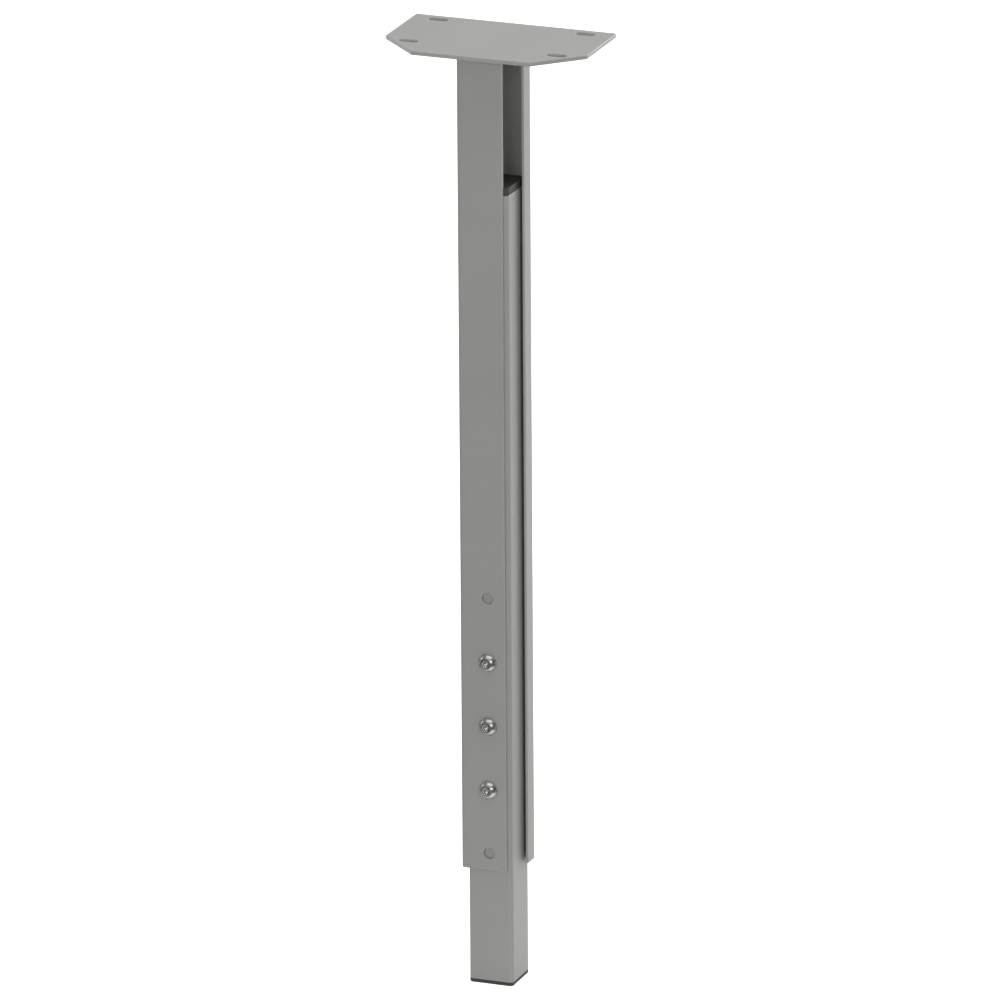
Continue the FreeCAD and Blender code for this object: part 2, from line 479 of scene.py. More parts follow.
def fold(shape: Shape, path: SheetPath, name: str, seam: bool = False) -> Piece:
    """Folds a flat blank along a path.

    Args:
        shape: Flat blank, its first axis along the path and its second one up the leg.
        path: Middle line that the sheet follows.
        name: Name of the object.
        seam: True to cut the blank at both ends of the path and join them.

    Returns:
        The folded sheet.
    """
    cuts = [(along, 1, False) for along in path.cuts()]
    if seam:
        cuts += [(0.0, -1, True), (path.length, 1, True)]
    for along, outward, trim in cuts:
        cut = bmesh.ops.bisect_plane(
            shape,
            geom=shape.verts[:] + shape.edges[:] + shape.faces[:],
            dist=CUT_TOLERANCE,
            plane_co=(along, 0, 0),
            plane_no=(outward, 0, 0),
            clear_outer=trim,
        )
        for line in cut["geom_cut"]:
            if isinstance(line, bmesh.types.BMEdge):
                line.seam = True
    for vertex in shape.verts:
        plan = path.place(vertex.co.x, vertex.co.z)
        vertex.co = Vector((plan.x, plan.y, vertex.co.y))
    merge_flats(shape)
    return piece_from(shape, name)


# Node trees


class Nodes:
    """A node tree under construction."""

    def __init__(self, tree: bpy.types.NodeTree) -> None:
        """Works on the given tree."""
        self.tree = tree

    def put(self, value: object, socket: Socket) -> None:
        """Links or sets one input.

        Args:
            value: Socket, list of sockets or plain value.
            socket: Input that gets it.
        """
        for one in value if isinstance(value, list) else [value]:
            if isinstance(one, Socket):
                self.tree.links.new(one, socket)
            else:
                socket.default_value = one

    def add(self, kind: str, inputs: dict[str | int, object] | None = None, **settings: object) -> Outputs:
        """Adds a node.

        Args:
            kind: Blender's name of the node type.
            inputs: What goes into the node's inputs, by name or place.
            settings: Properties of the node.

        Returns:
            The node's outputs.
        """
        node = self.tree.nodes.new(kind)
        for label, value in settings.items():
            setattr(node, label, value)
        for label, value in (inputs or {}).items():
            self.put(value, node.inputs[label])
        return node.outputs

    def math(self, operation: str, *values: Socket | float) -> Socket:
        """Adds a Math node."""
        return self.add("ShaderNodeMath", dict(enumerate(values)), operation=operation)[0]

    def total(self, terms: Iterable[tuple[Socket, Socket | float]], start: float = 0.0) -> Socket | float:
        """Adds up sockets, each times its weight.

        Args:
            terms: Pairs of a socket and its weight.
            start: Number that the sum starts from.

        Returns:
            The sum.
        """
        total: Socket | float = start
        for socket, weight in terms:
            total = self.math("MULTIPLY_ADD", socket, weight, total)
        return total

    def noise(self, vector: Socket, scale: Socket, detail: float) -> Socket:
        """Adds a Noise Texture."""
        return self.add("ShaderNodeTexNoise", {"Vector": vector, "Scale": scale, "Detail": detail})["Fac"]

    def ramp(self, value: Socket, low: float, high: float) -> Socket:
        """Adds a Map Range that turns low to high into 0 to 1."""
        return self.add("ShaderNodeMapRange", {"Value": value, "From Min": low, "From Max": high})["Result"]

    def axes(self, vector: Socket) -> Outputs:
        """Splits a vector into X, Y and Z."""
        return self.add("ShaderNodeSeparateXYZ", {0: vector})


class Group(Nodes):
    """A node group with named inputs and outputs."""

    def __init__(self, name: str, kind: str, inputs: dict[str, str], outputs: dict[str, str]) -> None:
        """Starts a group.

        Args:
            name: Name of the group.
            kind: Blender's name of the tree type.
            inputs: Names of the inputs and kinds of their sockets.
            outputs: Names of the outputs and kinds of their sockets.
        """
        super().__init__(bpy.data.node_groups.new(name, kind))
        sockets = self.tree.interface
        self.identifiers = {
            label: sockets.new_socket(label, in_out="INPUT", socket_type=f"NodeSocket{form}").identifier
            for label, form in inputs.items()
        }
        for label, form in outputs.items():
            sockets.new_socket(label, in_out="OUTPUT", socket_type=f"NodeSocket{form}")
        self.source = self.tree.nodes.new("NodeGroupInput").outputs
        self.result = self.tree.nodes.new("NodeGroupOutput").inputs


def effect_group(name: str, inputs: Iterable[str], outputs: Iterable[str]) -> Group:
    """Shader node group that turns Object coordinates and plain values into other values."""
    values = {"Vector": "Vector", **dict.fromkeys(inputs, "Float")}
    return Group(name, "ShaderNodeTree", values, dict.fromkeys(outputs, "Float"))


@cache
def grain_group(peel_share: float = 0.8) -> Group:
    """Surface grain: a soft orange peel with a fine speckle on top.

    Args:
        peel_share: Share of the peel in the height, the rest being speckle.

    Returns:
        The node group.
    """
    group = effect_group("surface_grain", ("Peel Scale", "Speckle Scale"), ("Height", "Speckle"))
    source = group.source
    peel = group.noise(source["Vector"], source["Peel Scale"], detail=1.0)
    speckle = group.noise(source["Vector"], source["Speckle Scale"], detail=0.0)
    group.put(group.total([(peel, peel_share), (speckle, 1.0 - peel_share)]), group.result["Height"])
    group.put(speckle, group.result["Speckle"])
    return group


@cache
def handling_group(
    stretch: float = 0.06, patch_range: Pair = (0.3, 0.7), rub_range: Pair = (0.66, 0.78)
) -> Group:
    """Handling marks: broad uneven patches and sparse fine rubs along the leg.

    Args:
        stretch: Scale of the rubs along the leg, against their scale across it.
        patch_range: Noise values that become no patch and a full patch.
        rub_range: Noise values that become no rub and a full rub.

    Returns:
        The node group.
    """
    group = effect_group("handling_marks", ("Patch Scale", "Rub Scale"), ("Patches", "Rubs"))
    source = group.source
    patches = group.noise(source["Vector"], source["Patch Scale"], detail=3.0)
    squeezed = group.add("ShaderNodeMapping", {"Vector": source["Vector"], "Scale": (1.0, 1.0, stretch)})
    rubs = group.noise(squeezed["Vector"], source["Rub Scale"], detail=2.0)
    group.put(group.ramp(patches, *patch_range), group.result["Patches"])
    group.put(group.ramp(rubs, *rub_range), group.result["Rubs"])
    return group


# Finishes


class Finish(Nodes):
    """A material under construction: one Principled shader and the nodes that feed it."""

    def __init__(self, name: str) -> None:
        """Starts a material.

        Args:
            name: Name of the material.
        """
        self.material = bpy.data.materials.new(name)
        self.material.use_nodes = True
        super().__init__(self.material.node_tree)
        self.shader = self.tree.nodes["Principled BSDF"].inputs
        self.place = self.add("ShaderNodeTexCoord")["Object"]

    def effect(self, group: Group, scales: dict[str, float]) -> Outputs:
        """Places a shared effect in this material."""
        return self.add("ShaderNodeGroup", {"Vector": self.place, **scales}, node_tree=group.tree)

    def tint(self, share: Socket, low: Sequence[float], high: Sequence[float]) -> Socket:
        """Mixes two colours by a share from 0 to 1."""
        mixed = {"A": (*low, 1.0), "B": (*high, 1.0), "Factor": share}
        return self.add("ShaderNodeMix", mixed, data_type="RGBA")["Result"]

    def feed(self, values: dict[str, object]) -> None:
        """Sets or links the shader's inputs."""
        for label, value in values.items():
            self.put(value, self.shader[label])


@dataclass(frozen=True)
class Blend:
    """A sum of effects: the number it starts from and the weight of each effect."""

    start: float = 0.0
    speckle: float = 0.0
    patches: float = 0.0
    rubs: float = 0.0
    worn: float = 0.0

    def socket(self, nodes: Nodes, effects: dict[str, Socket]) -> Socket | float:
        """Builds the sum of the effects that have a weight."""
        terms = [(effect, getattr(self, label)) for label, effect in effects.items()]
        return nodes.total([term for term in terms if term[1]], self.start)


@dataclass(frozen=True)
class Surface:
    """A finish of the leg: a colour in two shades, its roughness and its grain."""

    name: str
    colour: Triple
    shades: Pair
    tone: Blend
    roughness: Blend
    grain: dict[str, float]
    marks: dict[str, float]
    bump: dict[str, float]
    metallic: float = 0.0
    specular: float = 0.5
    least_wear: float = 0.3

    def material(self) -> bpy.types.Material:
        """Builds the finish.

        Returns:
            The material.
        """
        finish = Finish(self.name)
        grain = finish.effect(grain_group(), self.grain)
        marks = finish.effect(handling_group(), self.marks)
        effects = {"speckle": grain["Speckle"], "patches": marks["Patches"], "rubs": marks["Rubs"]}
        if self.tone.worn or self.roughness.worn:
            edge = finish.add("ShaderNodeAttribute", attribute_name=EDGE_MARK)["Fac"]
            uneven = finish.math("ADD", marks["Patches"], self.least_wear)
            effects["worn"] = finish.math("MULTIPLY", edge, uneven)
        low, high = ([value * shade for value in self.colour] for shade in self.shades)
        finish.feed({
            "Base Color": finish.tint(self.tone.socket(finish, effects), low, high),
            "Roughness": self.roughness.socket(finish, effects),
            "Metallic": self.metallic,
            "Specular IOR Level": self.specular,
            "Normal": finish.add("ShaderNodeBump", {"Height": grain["Height"], **self.bump})["Normal"],
        })
        return finish.material


FINISHES = {
    Slot.GREY_COATING: Surface(
        name="silver_grey_powder_coat",
        colour=(0.335, 0.335, 0.326),
        shades=(0.93, 1.07),
        tone=Blend(speckle=0.55, patches=0.25, worn=0.7),
        roughness=Blend(start=0.41, patches=0.06, rubs=-0.05, worn=-0.08),
        grain={"Peel Scale": 650.0, "Speckle Scale": 3800.0},
        marks={"Patch Scale": 14.0, "Rub Scale": 240.0},
        bump={"Strength": 0.16, "Distance": 0.4 * MM},
        metallic=0.08,
    ),
    Slot.SCREW_STEEL: Surface(
        name="bright_plated_steel",
        colour=(0.62, 0.62, 0.59),
        shades=(0.88, 1.0),
        tone=Blend(patches=1.0),
        roughness=Blend(start=0.23, patches=0.09, rubs=0.08),
        grain={"Peel Scale": 1400.0, "Speckle Scale": 6000.0},
        marks={"Patch Scale": 160.0, "Rub Scale": 900.0},
        bump={"Strength": 0.05, "Distance": 0.2 * MM},
        metallic=1.0,
    ),
    Slot.BAR_STEEL: Surface(
        name="zinc_plated_bar",
        colour=(0.46, 0.46, 0.45),
        shades=(0.7, 1.0),
        tone=Blend(patches=1.0),
        roughness=Blend(start=0.3, speckle=0.15, rubs=0.1),
        grain={"Peel Scale": 900.0, "Speckle Scale": 5000.0},
        marks={"Patch Scale": 60.0, "Rub Scale": 700.0},
        bump={"Strength": 0.1, "Distance": 0.3 * MM},
        metallic=1.0,
    ),
    Slot.BLACK_PLASTIC: Surface(
        name="grained_black_plastic",
        colour=(0.05, 0.05, 0.05),
        shades=(1.0, 2.2),
        tone=Blend(speckle=0.25, rubs=0.6),
        roughness=Blend(start=0.58, patches=0.12),
        grain={"Peel Scale": 1100.0, "Speckle Scale": 3000.0},
        marks={"Patch Scale": 45.0, "Rub Scale": 500.0},
        bump={"Strength": 0.25, "Distance": 0.3 * MM},
        specular=0.3,
    ),
}


# Geometry Nodes


class NodeShape(Group):
    """Geometry Nodes tree with named inputs, turned into a plain mesh on one object."""

    def __init__(self, name: str, inputs: dict[str, str]) -> None:
        """Starts a tree that also takes the incoming shape and its material."""
        geometry = {"Geometry": "Geometry"}
        super().__init__(name, "GeometryNodeTree", {**geometry, **inputs, "Material": "Material"}, geometry)

    def upright(self, height: Socket) -> Socket:
        """Vector of a height along the third axis."""
        return self.add("ShaderNodeCombineXYZ", {"Z": height})[0]

    def end(self, geometry: Socket) -> None:
        """Ends the tree: instances become real, and the material input is set.

        Args:
            geometry: The finished shape.
        """
        real = self.add("GeometryNodeRealizeInstances", {"Geometry": geometry})[0]
        painted = {"Geometry": real, "Material": self.source["Material"]}
        self.put(self.add("GeometryNodeSetMaterial", painted)[0], self.result["Geometry"])

    def apply(self, piece: Piece, values: dict[str, object]) -> None:
        """Runs the tree on an object and keeps the result as plain mesh.

        Args:
            piece: Object that carries the tree's incoming geometry.
            values: Values of the inputs by name.
        """
        modifier = piece.modifiers.new(self.tree.name, "NODES")
        modifier.node_group = self.tree
        for label, value in values.items():
            modifier[self.identifiers[label]] = value
        settle(piece)


def thread_tree(turn_steps: int = 40, tooth_sides: int = 4) -> NodeShape:
    """Tree that winds a thread round a screw blank and seats the screw in its hole.

    Args:
        turn_steps: Stretches on each turn of the thread.
        tooth_sides: Corners of the thread's section.

    Returns:
        The tree.
    """
    sizes = dict.fromkeys(("Core Radius", "Pitch", "Length", "Tooth"), "Float")
    shape = NodeShape("screw_thread", {**sizes, "Seat": "Vector"})
    source = shape.source
    winding = {
        "Resolution": turn_steps,
        "Rotations": shape.math("DIVIDE", source["Length"], source["Pitch"]),
        "Start Radius": source["Core Radius"],
        "End Radius": source["Core Radius"],
        "Height": source["Length"],
    }
    spiral = shape.add("GeometryNodeCurveSpiral", winding)[0]
    section = {"Resolution": tooth_sides, "Radius": source["Tooth"]}
    tooth = shape.add("GeometryNodeCurvePrimitiveCircle", section)[0]
    swept = {"Curve": spiral, "Profile Curve": tooth, "Fill Caps": True}
    thread = shape.add("GeometryNodeCurveToMesh", swept)[0]
    down = shape.upright(shape.math("MULTIPLY", source["Length"], -1.0))
    lowered = shape.add("GeometryNodeTransform", {"Geometry": thread, "Translation": down})[0]
    joined = shape.add("GeometryNodeJoinGeometry", {"Geometry": [source["Geometry"], lowered]})[0]
    seated = {"Geometry": joined, "Rotation": Euler((QUARTER, 0, 0)), "Translation": source["Seat"]}
    shape.end(shape.add("GeometryNodeTransform", seated)[0])
    return shape


def rib_tree() -> NodeShape:
    """Tree that stacks sealing ribs along a plug's insert and adds them to the plug.

    Returns:
        The tree.
    """
    shape = NodeShape("plug_ribs", {"Rib": "Object", "Count": "Int", "Pitch": "Float", "First": "Float"})
    source = shape.source
    start, step = shape.upright(source["First"]), shape.upright(source["Pitch"])
    places = {"Count": source["Count"], "Start Location": start, "Offset": step}
    line = shape.add("GeometryNodeMeshLine", places)[0]
    rib = shape.add("GeometryNodeObjectInfo", {"Object": source["Rib"]})["Geometry"]
    stack = shape.add("GeometryNodeInstanceOnPoints", {"Points": line, "Instance": rib})[0]
    shape.end(shape.add("GeometryNodeJoinGeometry", {"Geometry": [source["Geometry"], stack]})[0])
    return shape


def bead_tree() -> NodeShape:
    """Tree that ripples a smooth weld bead, with crescents that follow one another along it.

    Returns:
        The tree.
    """
    shape = NodeShape("weld_ripples", {"Pitch": "Float", "Height": "Float", "Bow": "Float"})
    source = shape.source
    along, across, free = (
        shape.add("GeometryNodeInputNamedAttribute", {"Name": label})["Attribute"] for label in BEAD_MARKS
    )
    bow = shape.math("MULTIPLY", shape.math("MULTIPLY", across, across), source["Bow"])
    phase = shape.math("DIVIDE", shape.math("SUBTRACT", along, bow), source["Pitch"])
    wave = shape.math("SINE", shape.math("MULTIPLY", shape.math("FRACT", phase), math.pi))
    wobble = shape.add("ShaderNodeTexNoise", {"Scale": 420.0, "Detail": 1.0})[0]
    lift = shape.math("MULTIPLY", shape.math("ADD", wave, wobble), source["Height"])
    outward = {"Vector": shape.add("GeometryNodeInputNormal")[0], "Scale": shape.math("MULTIPLY", lift, free)}
    offset = shape.add("ShaderNodeVectorMath", outward, operation="SCALE")[0]
    shape.end(shape.add("GeometryNodeSetPosition", {"Geometry": source["Geometry"], "Offset": offset})[0])
    return shape


# Sub-assemblies


@dataclass
class Assembly:
    """Pieces that ride on one moving body."""

    paints: Materials
    body: Body

    def dress(self, piece: Piece, slot: Slot, node: str) -> None:
        """Gives a finished piece its material and its place on the leg.

        Args:
            piece: Finished mesh object at the origin.
            slot: Material slot of the record.
            node: Solid that the piece stands for.
        """
        piece.data.materials.clear()
        piece.data.materials.append(self.paints[slot])
        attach(piece, self.body.value)
        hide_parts(node)
        LOG.info("%s: %d faces on %s", piece.name, len(piece.data.polygons), self.body.value)

    def coat(self, sheet: Piece, node: str) -> None:
        """Shades a sheet, marks its cut edges for wear and gives it the grey coating.

        Args:
            sheet: Finished sheet at the origin.
            node: Solid that the sheet stands for.
        """
        weigh_normals(sheet)
        mark_edges(sheet.data)
        self.dress(sheet, Slot.GREY_COATING, node)


@dataclass
class UpperFrame(Assembly):
    """Mounting plate, outer profile, the welds between them and the clamp bar."""

    plate_cut: float = 33.0 * MM
    plate_corner: float = 2.0 * MM
    sheet_wall: float = 2.0 * MM
    bend_inside: float = 1.5 * MM
    front_flange: float = 36.5 * MM
    lip: float = 15.5 * MM
    hole_diameter: float = 9.0 * MM
    hole_pitch: float = 50.0 * MM
    spare_holes: int = 1
    cut_edge: float = 0.35 * MM
    edge_border: float = 1.1 * MM
    sheet_corner: float = 1.6 * MM
    corner_steps: int = 4
    ripple_pitch: float = 1.7 * MM
    ripple_height: float = 0.22 * MM
    ripple_bow: float = 90.0
    bead_crown: float = 0.14
    bead_fill: float = 0.92
    bead_tip: float = 0.02
    bead_end: float = 0.8
    bead_steps: int = 120
    bead_sides: int = 12

    def build(self) -> None:
        """Builds and dresses every piece of the upper frame."""
        self.mounting_plate()
        self.outer_profile()
        self.welds()
        self.clamp_bar()

    def mounting_plate(self) -> None:
        """Plate with cut front corners and the slots that the record's mount names."""
        low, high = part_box("mounting_plate")
        cut = self.plate_cut
        corners = [
            (low.x + cut, low.y), (high.x - cut, low.y), (high.x, low.y + cut),
            (high.x, high.y), (low.x, high.y), (low.x, low.y + cut),
        ]
        mount = next(m for m in frame["record"]["mounts"] if m["name"] == "top_slots")
        names = ("spacing_x_mm", "spacing_y_mm", "slot_length_mm", "hole_r_mm")
        across, back, length, radius = (mount["dims"][name] * MM for name in names)
        loops = [rounded_loop(corners, self.plate_corner)]
        for side in (-1, 1):
            for row in (-1, 1):
                centre = (mount["pos_m"][0] + side * across / 2, mount["pos_m"][1] + row * back / 2)
                loops.append(stadium_loop(centre, length, 2 * radius, turn=0.0))
        shape = sheet_blank(loops, high.z - low.z, self.cut_edge, self.edge_border)
        bmesh.ops.translate(shape, verts=shape.verts, vec=(0, 0, (low.z + high.z) / 2))
        merge_flats(shape)
        self.coat(piece_from(shape, "plate"), "mounting_plate")

    def outer_profile(self) -> None:
        """Open profile folded from one strip of sheet, with the row of holes in its front flange."""
        low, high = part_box("outer_profile")
        wall = self.sheet_wall
        outside = self.bend_inside + wall
        flange_edge = low.x + self.front_flange
        path = SheetPath(
            start=Vector((flange_edge, low.y + wall / 2)),
            heading=math.pi,
            flats=[
                Flat(self.front_flange - outside, Turn.RIGHT),
                Flat(high.y - low.y - 2 * outside, Turn.RIGHT),
                Flat(high.x - low.x - 2 * outside, Turn.RIGHT),
                Flat(self.lip - outside),
            ],
            radius=self.bend_inside + wall / 2,
        )
        strip = [(0, low.z), (path.length, low.z), (path.length, high.z), (0, high.z)]
        loops = [rounded_loop(strip, self.sheet_corner, self.corner_steps)]
        lowest, highest = screw_span()
        screws = round((highest - lowest) / self.hole_pitch) + 1
        for number in range(-self.spare_holes, screws + self.spare_holes):
            centre = (flange_edge, lowest + number * self.hole_pitch)
            loops.append(circle_loop(centre, self.hole_diameter / 2))
        blank = sheet_blank(loops, wall, self.cut_edge, self.edge_border)
        self.coat(fold(blank, path, "profile"), "outer_profile")

    def welds(self) -> None:
        """Rippled fillet welds along the web and the back flange, under the plate."""
        ripples = bead_tree()
        values = {
            "Pitch": self.ripple_pitch,
            "Height": self.ripple_height,
            "Bow": self.ripple_bow,
            "Material": self.paints[Slot.GREY_COATING],
        }
        for node, axis in (("web_weld", 1), ("back_weld", 0)):
            bead = self.smooth_bead(node, axis)
            ripples.apply(bead, values)
            for label in BEAD_MARKS:
                bead.data.attributes.remove(bead.data.attributes[label])
            smooth_faces(bead.data)
            self.dress(bead, Slot.GREY_COATING, node)

    def smooth_bead(self, node: str, axis: int) -> Piece:
        """Weld bead without ripples, with round ends.

        Args:
            node: Solid that gives the bead's place.
            axis: Axis that the bead runs along, 0 or 1.

        Returns:
            The bead, with its attributes for the ripples.
        """
        low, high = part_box(node)
        length, size = high[axis] - low[axis], high.z - low.z
        outward = -1 if axis == 1 else 1
        corner = (high if outward < 0 else low)[1 - axis]
        rings, marks = [], []
        for step in range(self.bead_steps + 1):
            along = step / self.bead_steps * length
            end = min(1.0, min(along, length - along) / (size * self.bead_end))
            swell = math.sqrt(max(0.0, 1 - (1 - end) ** 2)) * self.bead_fill + self.bead_tip
            section = []
            for side in range(self.bead_sides + 1):
                turn = QUARTER * side / self.bead_sides
                bulge = math.sin(2 * turn)
                reach = size * swell * (1 + self.bead_crown * bulge) / (math.cos(turn) + math.sin(turn))
                section.append((corner + outward * reach * math.cos(turn), high.z - reach * math.sin(turn)))
                marks.append((along, size * (side / self.bead_sides - 0.5), bulge * end))
            section.append((corner, high.z))
            marks.append((0.0, 0.0, 0.0))
            place = low[axis] + along
            rings.append([Vector((out, place, up) if axis == 1 else (place, out, up)) for out, up in section])
        bead = loft(node.replace("weld", "weld_bead"), rings)
        for label, values in zip(BEAD_MARKS, zip(*marks)):
            mark(bead.data, label, values)
        return bead

    def clamp_bar(self) -> None:
        """The flat bar keeps its solid and gets its plating."""
        bar = frame["nodes"]["clamp_bar"]
        for slot in bar.material_slots:
            slot.material = self.paints[Slot.BAR_STEEL]
        LOG.info("%s: plated", bar.name)


@dataclass
class LowerLeg(Assembly):
    """Square tube and the plastic plugs in its ends."""

    wall: float = 2.0 * MM
    corner: float = 3.0 * MM
    slot_width: float = 9.0 * MM
    end_edge: float = 0.3 * MM
    edge_border: float = 1.1 * MM
    seam_margin: float = 4.0 * MM
    core_inset: float = 2.9 * MM
    plug_wall: float = 1.8 * MM
    plug_depth: float = 22.0 * MM
    rib_count: int = 4
    rib_thickness: float = 1.4 * MM
    rib_gap: float = 0.02 * MM
    rib_rounding: float = 0.6 * MM
    foot_edge: float = 1.0 * MM
    top_edge: float = 0.8 * MM
    edge_steps: int = 6
    corner_steps: int = 6

    def build(self) -> None:
        """Builds and dresses every piece of the lower leg."""
        self.inner_tube()
        ribs = rib_tree()
        low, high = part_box("inner_tube")
        self.plug("foot_plug", ribs, seat=low.z, up=1, edge=self.foot_edge)
        self.plug("top_plug", ribs, seat=high.z, up=-1, edge=self.top_edge)

    def inner_tube(self) -> None:
        """Tube rolled from a strip and closed at its back, with the slot for the clamp screws."""
        low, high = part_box("inner_tube")
        flat = high.x - low.x - 2 * self.corner
        path = SheetPath(
            start=Vector((0.0, high.y - self.wall / 2)),
            heading=math.pi,
            flats=[Flat(flat / 2, Turn.LEFT), *[Flat(flat, Turn.LEFT)] * 3, Flat(flat / 2)],
            radius=self.corner - self.wall / 2,
        )
        first, last = -self.seam_margin, path.length + self.seam_margin
        strip = [(first, low.z), (last, low.z), (last, high.z), (first, high.z)]
        slide = next(joint for joint in frame["joints"] if joint["type"] == "slide")
        lowest, highest = screw_span()
        run = highest - lowest + slide["range_m"][1] - slide["range_m"][0] + self.slot_width
        middle = (path.length / 2, (lowest + highest) / 2)
        loops = [strip, stadium_loop(middle, run, self.slot_width, turn=QUARTER)]
        blank = sheet_blank(loops, self.wall, self.end_edge, self.edge_border)
        self.coat(fold(blank, path, "tube", seam=True), "inner_tube")

    def ring(self, half: float, radius: float, height: float) -> Ring:
        """Rounded square at a height, centred on the leg's axis."""
        corners = [(half, -half), (half, half), (-half, half), (-half, -half)]
        return [Vector((x, y, height)) for x, y in rounded_loop(corners, radius, self.corner_steps)]

    def plug(self, node: str, ribs: NodeShape, seat: float, up: int, edge: float) -> None:
        """Plug with a rounded head and a hollow ribbed insert.

        Args:
            node: Solid that the plug stands for.
            ribs: Tree that adds the ribs.
            seat: Height of the tube end that the head lies on.
            up: 1 if the insert points up, -1 if it points down.
            edge: Radius of the head's outer edge.
        """
        low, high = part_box(node)
        half = (high.x - low.x) / 2
        core = half - self.core_inset
        pocket = core - self.plug_wall
        head = seat - low.z if up > 0 else high.z - seat
        rings = []
        for step in range(self.edge_steps + 1):
            turn = QUARTER * step / self.edge_steps
            inset = edge * (1 - math.sin(turn))
            rings.append(self.ring(half - inset, self.corner - inset, edge * (1 - math.cos(turn)) - head))
        rings.append(self.ring(half, self.corner, 0.0))
        for width, height in ((core, 0.0), (core, self.plug_depth), (pocket, self.plug_depth), (pocket, 0.0)):
            rings.append(self.ring(width, self.corner - self.wall, height))
        plug = loft(node.replace("plug", "cap"), rings)
        rib = self.rib(half - self.wall, core)
        pitch = self.plug_depth / (self.rib_count + 1)
        plastic = self.paints[Slot.BLACK_PLASTIC]
        values = {"Rib": rib, "Count": self.rib_count, "Pitch": pitch, "First": pitch, "Material": plastic}
        ribs.apply(plug, values)
        bpy.data.objects.remove(rib)
        plug.data.transform(Matrix.Translation((0, 0, seat)) @ Matrix.Diagonal((1, up, up, 1)))
        smooth_faces(plug.data)
        weigh_normals(plug)
        self.dress(plug, Slot.BLACK_PLASTIC, node)

    def rib(self, bore: float, core: float) -> Piece:
        """One sealing rib: a tapered ring between the insert and the tube's wall.

        Args:
            bore: Half the clear width of the tube.
            core: Half the width of the insert.

        Returns:
            The rib, centred at height zero.
        """
        thick = self.rib_thickness / 2
        inner = self.corner - self.wall
        root, tip = (core - self.plug_wall / 2, inner), (bore - self.rib_gap, inner + self.rib_rounding)
        section = ((*root, -thick), (*tip, -thick / 2), (*tip, thick / 2), (*root, thick), (*root, -thick))
        return loft("sealing_rib", [self.ring(*row) for row in section], capped=False)


@dataclass
class ClampScrew(Assembly):
    """Button-head screw with a hexagon socket and a rolled thread."""

    number: int
    seat: Triple
    shank: float = 8.0 * MM
    length: float = 12.0 * MM
    pitch: float = 1.25 * MM
    tooth: float = 0.52 * MM
    tip_share: float = 0.55
    tip_lead: float = 0.45 * MM
    thread_gap: float = 1.3 * MM
    neck_start: float = 1.04 * MM
    neck_end: float = 0.312 * MM
    seat_chamfer: Pair = (0.25 * MM, 0.2 * MM)
    rim: float = 0.7 * MM
    crown: float = 8.0 * MM
    crown_land: float = 0.93
    dome_steps: int = 12
    socket_flats: float = 5.0 * MM
    socket_depth: float = 2.6 * MM
    socket_lead: float = 0.35 * MM
    drill_diameter: float = 4.9 * MM
    drill_depth: float = 1.4 * MM
    drill_point: float = 0.1 * MM
    around: int = 72
    sharp_angle: float = math.radians(28)

    def ring(self, half: float, height: float, hexagonal: bool = False) -> Ring:
        """Round or hexagonal ring at a height above the flange.

        Args:
            half: Half the ring's width, across the flats of a hexagon.
            height: Height of the ring.
            hexagonal: True for a hexagon.

        Returns:
            As many points for a hexagon as for a circle.
        """
        points = []
        for step in range(self.around):
            turn = 2 * math.pi * step / self.around
            radius = half / math.cos(turn % (math.pi / 3) - math.pi / 6) if hexagonal else half
            points.append(Vector((radius * math.cos(turn), radius * math.sin(turn), height)))
        return points

    def dome(self, head: float, height: float) -> Loop:
        """Section of the domed head, one arc from its rim to its crown.

        Args:
            head: Radius of the head.
            height: Height of the head.

        Returns:
            Radius and height of each step.
        """
        crown = self.crown / 2
        centre = (height**2 + crown**2 - self.rim**2 - head**2) / (2 * (height - self.rim))
        start = math.atan2(self.rim - centre, head)
        sweep = math.atan2(height - centre, crown) - start
        return arc_points((0.0, centre), math.hypot(head, self.rim - centre), start, sweep, self.dome_steps)

    def rings(self) -> list[Ring]:
        """Rings of the blank.

        Returns:
            The rings from the shank's end to the bottom of the socket.
        """
        low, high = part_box(f"clamp_screw_{self.number}")
        head = (high.x - low.x) / 2
        height = high.y - low.y - self.length
        bottom = height - self.socket_depth
        shank, flats = self.shank / 2, self.socket_flats / 2
        core = shank - self.tooth
        chamfer, lift = self.seat_chamfer
        section = [
            (core * self.tip_share, -self.length),
            (core, self.tip_lead - self.length),
            (core, -self.neck_start),
            (shank, -self.neck_end),
            (shank, 0.0),
            (head - chamfer, 0.0),
            (head, lift),
            *self.dome(head, height),
            (self.crown / 2 * self.crown_land, height),
            (flats + self.socket_lead, height, True),
            (flats, height - self.socket_lead, True),
            (flats, bottom, True),
            (self.drill_diameter / 2, bottom),
            (self.drill_point, bottom - self.drill_depth),
        ]
        return [self.ring(*row) for row in section]

    def build(self, thread: NodeShape) -> None:
        """Builds the screw, winds its thread and dresses it.

        Args:
            thread: Tree that adds the thread and seats the screw.
        """
        screw = loft(f"screw_{self.number}_dressed", self.rings(), sharp_angle=self.sharp_angle)
        values = {
            "Core Radius": self.shank / 2 - self.tooth,
            "Pitch": self.pitch,
            "Length": self.length - self.thread_gap,
            "Tooth": self.tooth,
            "Seat": self.seat,
            "Material": self.paints[Slot.SCREW_STEEL],
        }
        thread.apply(screw, values)
        self.dress(screw, Slot.SCREW_STEEL, f"clamp_screw_{self.number}")


# Studio


